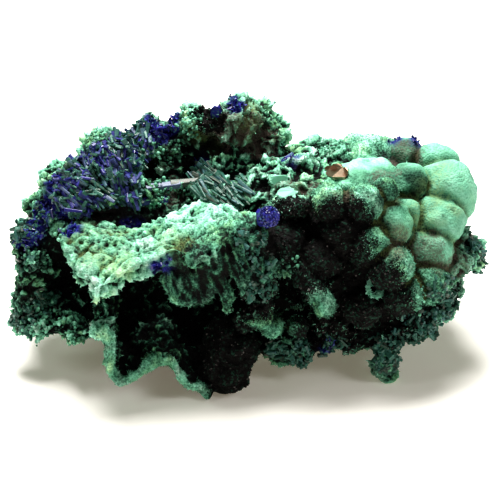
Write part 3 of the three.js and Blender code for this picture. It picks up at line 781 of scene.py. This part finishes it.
MALACHITE_TONES = [
    (0.0, SOOT), (0.16, BLACK_GREEN), (0.32, DEEP_GREEN), (0.52, GREEN), (0.74, LIGHT_GREEN), (0.95, MINT),
]


def surface(name, roughness, specular=0.4):
    material = bpy.data.materials.new(name)
    material.use_nodes = True
    nodes = Nodes(material.node_tree)
    shader = material.node_tree.nodes["Principled BSDF"]
    shader.inputs["Roughness"].default_value = roughness
    shader.inputs["Specular IOR Level"].default_value = specular
    return material, nodes, shader


def bump(nodes, shader, height, distance, strength=1.0):
    normal = nodes.add(
        "ShaderNodeBump", {"Height": height, "Distance": distance * MM, "Strength": strength}
    )
    nodes.tree.links.new(normal.outputs[0], shader.inputs["Normal"])


def paint(nodes, shader, colour):
    nodes.tree.links.new(colour, shader.inputs["Base Color"])


def placed(nodes, group, values):
    return nodes.add("ShaderNodeGroup", values, node_tree=group)


def grained(nodes, coarse, fine):
    return placed(nodes, grain, {"Coarse scale": coarse, "Fine scale": fine})


def malachite_finish():
    material, nodes, shader = surface("malachite", 0.7, 0.12)
    mottle = grained(nodes, 520.0, 3000.0)
    uneven = nodes.math("MULTIPLY_ADD", mottle.outputs["Value"], 1.1, -0.6)
    uneven = nodes.math("MULTIPLY", uneven, nodes.spread(nodes.stored("smooth"), 0.3, 0.9, 1.0, 0.4))
    # The stored tone includes the painted shade and highlight of the relief and the painted shade under the
    # fan.
    green = nodes.spread(nodes.stored("tone"), 0.04, 0.26)
    uneven = nodes.math("MULTIPLY", uneven, nodes.spread(green, 0.0, 1.0, 0.3, 1.0))
    tone = nodes.math("ADD", nodes.stored("tone"), uneven)
    colour = nodes.ramp(tone, MALACHITE_TONES)
    drift = nodes.add(
        "ShaderNodeTexNoise", {"Vector": nodes.here(), "Scale": 230.0, "Detail": 3.0, "Roughness": 0.6}
    ).outputs[0]
    rough = nodes.spread(nodes.stored("smooth"), 0.2, 0.8, 1.0, 0.25)
    for low, high, cast in ((0.5, 0.66, WARM_CAST), (0.5, 0.36, GREY_CAST)):
        share = nodes.math("MULTIPLY", rough, nodes.spread(drift, low, high))
        colour = nodes.blend(share, colour, cast, "MULTIPLY")
    warm = nodes.math("MAXIMUM", nodes.stored("ochre"), nodes.math("MULTIPLY", nodes.stored("crease"), 0.8))
    warm = nodes.math("MULTIPLY", warm, nodes.spread(mottle.outputs["Value"], 0.4, 0.62, 0.0, 0.5))
    colour = nodes.blend(warm, colour, OCHRE_TONE)
    grit = grained(nodes, 2300.0, 5200.0).outputs["Value"]
    dusty = nodes.math("ADD", nodes.stored("brown"), nodes.math("MULTIPLY_ADD", grit, 2.4, -1.75))
    dusty = nodes.spread(dusty, 0.1, 0.7, 0.0, 0.65)
    colour = nodes.blend(dusty, colour, BROWN)
    blue = nodes.math("MULTIPLY", nodes.stored("azurite"), nodes.spread(mottle.outputs["Value"], 0.36, 0.5))
    colour = nodes.blend(blue, colour, BLUE)
    stain = nodes.math("ADD", nodes.stored("tenorite"), nodes.math("MULTIPLY_ADD", grit, -2.2, 1.14))
    dark = nodes.spread(stain, 0.3, 0.62)
    colour = nodes.blend(dark, colour, RUST_BLACK)
    pepper = placed(nodes, speckle, {"Scale": 3400.0, "Threshold": 0.8})
    velvety = nodes.spread(nodes.stored("velvet"), 0.3, 0.9, 0.0, 0.6)
    peppered = nodes.math("MULTIPLY", pepper.outputs["Mask"], velvety)
    peppered = nodes.math("MULTIPLY", peppered, green)
    colour = nodes.blend(peppered, colour, DEEP_GREEN)
    glints = placed(nodes, speckle, {"Scale": 2100.0, "Threshold": 0.93})
    grainy = nodes.spread(nodes.stored("grainy"), 0.3, 0.8, 0.1, 0.55)
    glitter = nodes.math("MULTIPLY", glints.outputs["Mask"], grainy)
    glitter = nodes.math("MULTIPLY", glitter, nodes.spread(green, 0.0, 1.0, 0.12, 1.0))
    colour = nodes.blend(nodes.math("MULTIPLY", glitter, 0.5), colour, LIGHT_GREEN)
    paint(nodes, shader, colour)
    roughness = nodes.math("SUBTRACT", 0.68, nodes.math("MULTIPLY", glitter, 0.5))
    nodes.tree.links.new(roughness, shader.inputs["Roughness"])
    bump(nodes, shader, mottle.outputs["Height"], 0.22, 0.9)
    return material


def azurite_finish():
    material, nodes, shader = surface("azurite", 0.28, 0.6)
    mottle = grained(nodes, 500.0, 2200.0)
    uneven = nodes.math("MULTIPLY_ADD", mottle.outputs["Value"], 0.6, -0.36)
    shade = nodes.math("ADD", nodes.stored("tint"), uneven)
    colour = nodes.ramp(shade, [(0.0, NIGHT_BLUE), (0.35, BLUE), (0.7, VIOLET), (1.0, BLUE_GREY)])
    dusted = nodes.spread(mottle.outputs["Value"], 0.62, 0.72, 0.0, 0.6)
    colour = nodes.blend(dusted, colour, GREEN)
    paint(nodes, shader, colour)
    bump(nodes, shader, mottle.outputs["Height"], 0.05, 0.5)
    return material


def crystal_finish():
    """Coated crystals: by their tint brown, moss green, teal, blue-grey or violet."""
    material, nodes, shader = surface("coated crystal", 0.42, 0.5)
    mottle = grained(nodes, 650.0, 3000.0)
    uneven = nodes.math("MULTIPLY_ADD", mottle.outputs["Value"], 0.3, -0.18)
    shade = nodes.math("ADD", nodes.stored("tint"), uneven)
    stops = [(0.0, BROWN), (0.16, MOSS), (0.4, TEAL), (0.66, BLUE_GREY), (1.0, DEEP_VIOLET)]
    colour = nodes.ramp(shade, stops)
    paint(nodes, shader, colour)
    bump(nodes, shader, mottle.outputs["Height"], 0.08, 0.6)
    return material


def tuft_finish():
    material, nodes, shader = surface("malachite needles", 0.55, 0.3)
    colour = nodes.ramp(nodes.stored("tint"), MALACHITE_TONES)
    paint(nodes, shader, colour)
    return material


def tenorite_finish():
    material, nodes, shader = surface("tenorite", 0.6, 0.16)
    glints = placed(nodes, speckle, {"Scale": 4200.0, "Threshold": 0.66})
    lit = nodes.spread(nodes.stored("tint"), 0.35, 1.0)
    colour = nodes.blend(nodes.math("MULTIPLY", glints.outputs["Mask"], lit), SOOT, GLINT_GREY)
    paint(nodes, shader, colour)
    return material


def copper_finish():
    material, nodes, shader = surface("native copper", 0.42, 0.5)
    mottle = grained(nodes, 420.0, 900.0)
    stops = [(0.3, COPPER_CRACK), (0.48, COPPER_DULL), (0.66, COPPER_BRIGHT)]
    colour = nodes.ramp(mottle.outputs["Value"], stops)
    paint(nodes, shader, colour)
    bare = nodes.spread(mottle.outputs["Value"], 0.36, 0.5, 0.2, 0.9)
    nodes.tree.links.new(bare, shader.inputs["Metallic"])
    bump(nodes, shader, mottle.outputs["Height"], 0.12, 0.8)
    return material


malachite, azurite, coated = malachite_finish(), azurite_finish(), crystal_finish()
needles, tenorite, copper = tuft_finish(), tenorite_finish(), copper_finish()
plate_finishes = {"azurite": azurite, "malachite": needles, "copper": copper}

body = finish_piece("malachite_body", body_mesh, malachite)
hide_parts(MALACHITE_NODE)

# ---- crystals that stand on the body ------------------------------------------------------

skin = as_array(body_mesh)
skin_normals = as_array(body_mesh, "normal")
skin_values = {}
for name in (
    "tone", "azurite", "tenorite", "grainy", "velvet", "fibrous", "fan", "clusters", "bristle", "blades",
):
    skin_values[name] = np.empty(len(skin), dtype=np.float32)
    body_mesh.attributes[name].data.foreach_get("value", skin_values[name])


def seats(weights, number):
    """Vertices of the body picked at random by weight: each a place, a normal and an index."""
    weights = weights * (skin[:, 2] > FOOT_CLEARANCE * MM)
    picked = random.choices(range(len(skin)), weights=weights.tolist(), k=number)
    return [(Vector(skin[i]), Vector(skin_normals[i]), i) for i in picked]


def beyond(name, start):
    """How far this value of the body goes beyond its start, at each vertex."""
    return np.clip(skin_values[name] - start, 0, 1)


def template(kind):
    """A small crystal along +Z, one unit long, that is copied many times."""
    bm = bmesh.new()
    if kind == "blade":
        bmesh.ops.create_cube(bm, size=1, matrix=Matrix.Translation((0, 0, 0.5)))
        top = [v for v in bm.verts if v.co.z > 0.5]
        bmesh.ops.scale(bm, vec=(0.55, 0.8, 1), verts=top)
        bmesh.ops.bevel(
            bm, geom=[e for e in bm.edges if abs(e.verts[0].co.z - e.verts[1].co.z) > 0.5],
            offset=0.16, affect="EDGES", segments=1, profile=0.5, material=-1,
        )
    elif kind == "needle":
        bmesh.ops.create_cone(
            bm, cap_ends=True, segments=4, radius1=0.5, radius2=0.12, depth=1,
            matrix=Matrix.Translation((0, 0, 0.5)),
        )
    else:
        bmesh.ops.create_icosphere(bm, subdivisions=1, radius=0.5)
    return tinted(mesh_of(bm, kind), 0)


def growth(name, kind, stands, material, smooth=False):
    """Copies of one small crystal as a piece: each stand is a matrix and a tint."""
    pattern = template(kind)
    whole = bmesh.new()
    for matrix, tint in stands:
        one = pattern.copy()
        one.transform(matrix)
        whole.from_mesh(tinted(one, tint))
        bpy.data.meshes.remove(one)
    for vert in whole.verts:
        vert.co.z = max(vert.co.z, 0)  # nothing reaches into the floor
    return finish_piece(name, mesh_of(whole, name), material, smooth)


def stand(at, direction, length, width, depth, sink=0.25):
    """The matrix of one crystal, sunk into the body by a share of its length."""
    spin = Matrix.Rotation(random.uniform(0, math.tau), 4, "Z").to_quaternion()
    turn = direction.normalized().to_track_quat("Z", "Y") @ spin
    foot = at - direction.normalized() * length * sink * MM
    return Matrix.LocRotScale(foot, turn, Vector((width, depth, length)) * MM)


def lying(at, normal, along, length, width, depth, lift):
    """The matrix of one blade that lies along the body, its middle raised or sunk by lift."""
    side = along.cross(normal).normalized()
    turn = Matrix((side, side.cross(along), along)).transposed().to_4x4()
    size = Matrix.Diagonal(Vector((width, depth, length)) * MM).to_4x4()
    return Matrix.Translation(at - along * length * 0.5 * MM + normal * lift * MM) @ turn @ size


def stray(amount):
    return Vector([random.gauss(0, amount) for _ in range(3)])


def varied(tone, shift, spread):
    """A tint about this tone, which varies less where the crust is black."""
    return tone + random.gauss(shift, spread) * min(max(3 * tone - 0.2, 0.05), 1)


def azurite_blades():
    stands = []
    for at, normal, _i in seats(beyond("azurite", 0.5), NUMBERS["azurite_blades"]):
        length = random.uniform(0.45, 1.5)
        lean = normal + stray(0.8)
        width, depth = random.uniform(0.5, 1) * length * 0.7, random.uniform(0.12, 0.24)
        stands.append((stand(at, lean, length, width, depth, 0.6), random.uniform(0.1, 0.72)))
    return growth("azurite_blades", "blade", stands, azurite)


def coated_fan():
    """Thin blades that lap over each other and run down to the foot of the fan."""
    foot = place(FAN_FOOT)
    stands = []
    for at, normal, _i in seats(beyond("fan", 0.4), NUMBERS["coated_fan"]):
        run = (foot - at).normalized() + stray(0.24)
        run = (run - run.dot(normal) * normal).normalized()
        length, width = random.uniform(1.4, 3), random.uniform(0.4, 0.85)
        along = (run + normal * random.uniform(-0.1, 0.55)).normalized()
        depth, lift = random.uniform(0.24, 0.42), random.uniform(-0.2, 0.3)
        blade = lying(at, normal, along, length, width, depth, lift)
        stands.append((blade, random.choice(FAN_TINTS)))
    return growth("coated_fan", "blade", stands, coated)


def dark_blades():
    """Long flat dark green crystals that lie side by side in front of the dark gap."""
    start, end = DARK_BLADES_RUN
    toward = (place(end) - place(start)).normalized()
    stands = []
    for at, normal, _i in seats(beyond("blades", 0.4), NUMBERS["dark_blades"]):
        along = (toward + stray(0.2) + normal * random.uniform(0, 0.25)).normalized()
        length, width = random.uniform(1.6, 3.6), random.uniform(0.35, 0.75)
        depth, lift = random.uniform(0.16, 0.3), random.uniform(0, 0.4)
        blade = lying(at, normal, along, length, width, depth, lift)
        stands.append((blade, random.choice(DARK_BLADE_TINTS)))
    return growth("dark_blades", "blade", stands, coated)


def teal_bristle():
    stands = []
    for at, normal, _i in seats(beyond("bristle", 0.4), NUMBERS["teal_bristle"]):
        length = random.uniform(0.35, 0.8) if random.random() < 0.6 else random.uniform(0.9, 1.7)
        lean = normal + stray(0.7)
        width, depth = random.uniform(0.5, 1.0), random.uniform(0.3, 0.55)
        stands.append((stand(at, lean, length, width, depth, 0.6), random.choice(BRISTLE_TINTS)))
    return growth("teal_bristle", "blade", stands, coated)


def nap(name, weight, lean, lengths, width, sink, shift, spread):
    """Fine needles that stand on the body and take its tone, painted shade and highlight included."""
    stands = []
    for at, normal, i in seats(weight, NUMBERS[name]):
        needle = stand(at, normal + stray(lean), random.uniform(*lengths), width, width, sink)
        stands.append((needle, varied(float(skin_values["tone"][i]), shift, spread)))
    return growth(name, "needle", stands, needles)


def malachite_tufts():
    weight = skin_values["grainy"] * np.clip(skin_values["tone"], 0.01, 1) * (1 - skin_values["fan"])
    return nap("malachite_tufts", weight, 0.4, (0.2, 0.5), 0.17, 0.35, -0.04, 0.13)


def velvet_nap():
    weight = (skin_values["velvet"] + skin_values["fibrous"]) * (1 - skin_values["tenorite"])
    weight = weight * np.clip(3 * skin_values["tone"] - 0.15, 0.02, 1)
    return nap("malachite_velvet", weight, 0.3, (0.18, 0.45), 0.12, 0.3, -0.03, 0.12)


def malachite_grains():
    """Clusters of small round grains, piled on each other."""
    stands = []
    for at, normal, i in seats(beyond("clusters", 0.3), NUMBERS["malachite_grains"]):
        size = random.uniform(0.3, 0.66)
        up = at + normal * abs(random.gauss(0, 0.35)) * MM
        tone = min(max(float(skin_values["tone"][i]), 0.3), 0.66) + random.gauss(0.04, 0.12)
        lean, width = normal + stray(0.5), size * random.uniform(0.8, 1.1)
        stands.append((stand(up, lean, size, width, size, 0.35), tone))
    return growth("malachite_grains", "granule", stands, needles, True)


def tenorite_granules():
    stands = []
    for at, normal, _i in seats(beyond("tenorite", 0.18) ** 1.4, NUMBERS["tenorite_granules"]):
        size = random.uniform(0.2, 0.52)
        stands.append((stand(at, normal + stray(0.3), size, size, size * 0.8, 0.1), random.random()))
    return growth("tenorite_granules", "granule", stands, tenorite)


def long_crystals():
    """The single crystals beside the dark gap: bevelled six-sided prisms."""
    whole = bmesh.new()
    for start, end, width, depth, tint in PRISMS:
        one = bmesh.new()
        along = place(end) - place(start)
        bmesh.ops.create_cone(one, cap_ends=True, segments=6, radius1=0.5, radius2=0.42, depth=1)
        bmesh.ops.scale(one, vec=(width * MM, depth * MM, along.length * 1.06), verts=one.verts)
        bmesh.ops.bevel(
            one, geom=one.edges, offset=0.08 * MM, affect="EDGES", segments=2, profile=0.5, material=-1
        )
        turn = along.to_track_quat("Z", "Y").to_matrix().to_4x4()
        middle = Matrix.Translation((place(start) + place(end)) / 2)
        bmesh.ops.transform(one, verts=one.verts, matrix=middle @ turn)
        whole.from_mesh(tinted(mesh_of(one, "prism"), tint))
    return finish_piece("coated_crystals", mesh_of(whole, "coated_crystals"), coated, False)


def on_body(across, down):
    """A place on the finished body and its normal there, by its place in the camera's frame."""
    at = seen(skin_tree, across, down)
    spot, normal, _face, _gap = skin_tree.find_nearest(place(at))
    return spot, normal


def azurite_ball():
    """The round cluster of azurite in the dark cleft: a ball set all over with small blades."""
    spot, normal = on_body(*AZURITE_BALL_AT)
    stands = []
    for _ in range(NUMBERS["azurite_ball"]):
        out = stray(1).normalized()
        foot, lean = spot + normal * 0.5 * MM + out * 1.25 * MM, out + stray(0.35)
        blade = stand(foot, lean, random.uniform(0.5, 0.95), random.uniform(0.34, 0.62), 0.24, 0.55)
        stands.append((blade, random.uniform(0.1, 0.85)))
    stands.append((stand(spot + normal * 0.5 * MM, normal, 2.6, 2.6, 2.6, 0.5), 0.5))
    return growth("azurite_ball", "blade", stands, azurite)


def tuft_ring():
    """A ring of pale upright needles in the dark lower middle."""
    spot, normal = on_body(*TUFT_RING_AT)
    across = normal.orthogonal().normalized()
    stands = []
    for _ in range(NUMBERS["pale_tuft_ring"]):
        out = Matrix.Rotation(random.uniform(0, math.tau), 3, normal) @ across
        reach = random.gauss(1.05, 0.16)
        foot, lean = spot + (out * reach + normal * 0.8) * MM, normal + out * 0.4 + stray(0.3)
        needle = stand(foot, lean, random.uniform(0.9, 1.6), 0.28, 0.28, 0.25)
        stands.append((needle, random.uniform(0.85, 1)))
    return growth("pale_tuft_ring", "needle", stands, needles)


def ragged_plate(name):
    """A thin plate with a broken rim that lies on the body."""
    at, reach, thickness, lean, slot, tint, fold = PLATES[name]
    spot, normal = on_body(*at)
    bm = bmesh.new()
    bmesh.ops.create_circle(bm, cap_ends=True, segments=26, radius=1)
    bmesh.ops.inset_region(bm, faces=bm.faces[:], thickness=0.45, use_even_offset=True)
    for vert in bm.verts:
        rim = vert.co.length > 0.8
        vert.co *= 1 + (random.uniform(-0.24, 0.1) if rim else 0)
        vert.co.z = 0.14 * noise.noise(vert.co * 2.3 + Vector((*at, 0))) + fold * abs(vert.co.x)
    bmesh.ops.solidify(bm, geom=bm.faces[:], thickness=thickness / max(reach))
    bmesh.ops.recalc_face_normals(bm, faces=bm.faces[:])
    bmesh.ops.triangulate(bm, faces=bm.faces[:])
    turn = (normal + Vector(lean)).normalized().to_track_quat("Z", "Y").to_matrix().to_4x4()
    size = Matrix.Diagonal(Vector((*reach, max(reach))) * MM).to_4x4()
    above = Matrix.Translation(spot + normal * 0.35 * MM)
    bmesh.ops.transform(bm, verts=bm.verts[:], matrix=above @ turn @ size)
    return finish_piece(name, tinted(mesh_of(bm, name), tint), plate_finishes[slot], False)


skin_tree = tree_of(body_mesh)

azurite_blades()
coated_fan()
dark_blades()
teal_bristle()
azurite_ball()
tuft_ring()
malachite_grains()
for name in PLATES:
    ragged_plate(name)
malachite_tufts()
velvet_nap()
tenorite_granules()
long_crystals()

# ---- the floor ----------------------------------------------------------------------------

FLOOR_REACH = 1.5  # metres from its middle to its edge
FLOOR_TONE = (0.95, 0.94, 0.91, 1)
FLOOR_GLOW = (1, 0.88, 0.68, 1)
GLOW_STRENGTH = 0.16

bm = bmesh.new()
bmesh.ops.create_grid(bm, x_segments=1, y_segments=1, size=FLOOR_REACH)
floor_finish, _, floor_shader = surface("pale floor", 0.9, 0.1)
floor_shader.inputs["Base Color"].default_value = FLOOR_TONE
floor_shader.inputs["Emission Color"].default_value = FLOOR_GLOW
floor_shader.inputs["Emission Strength"].default_value = GLOW_STRENGTH
floor = link("floor", mesh_of(bm, "floor"))
floor.data.materials.append(floor_finish)
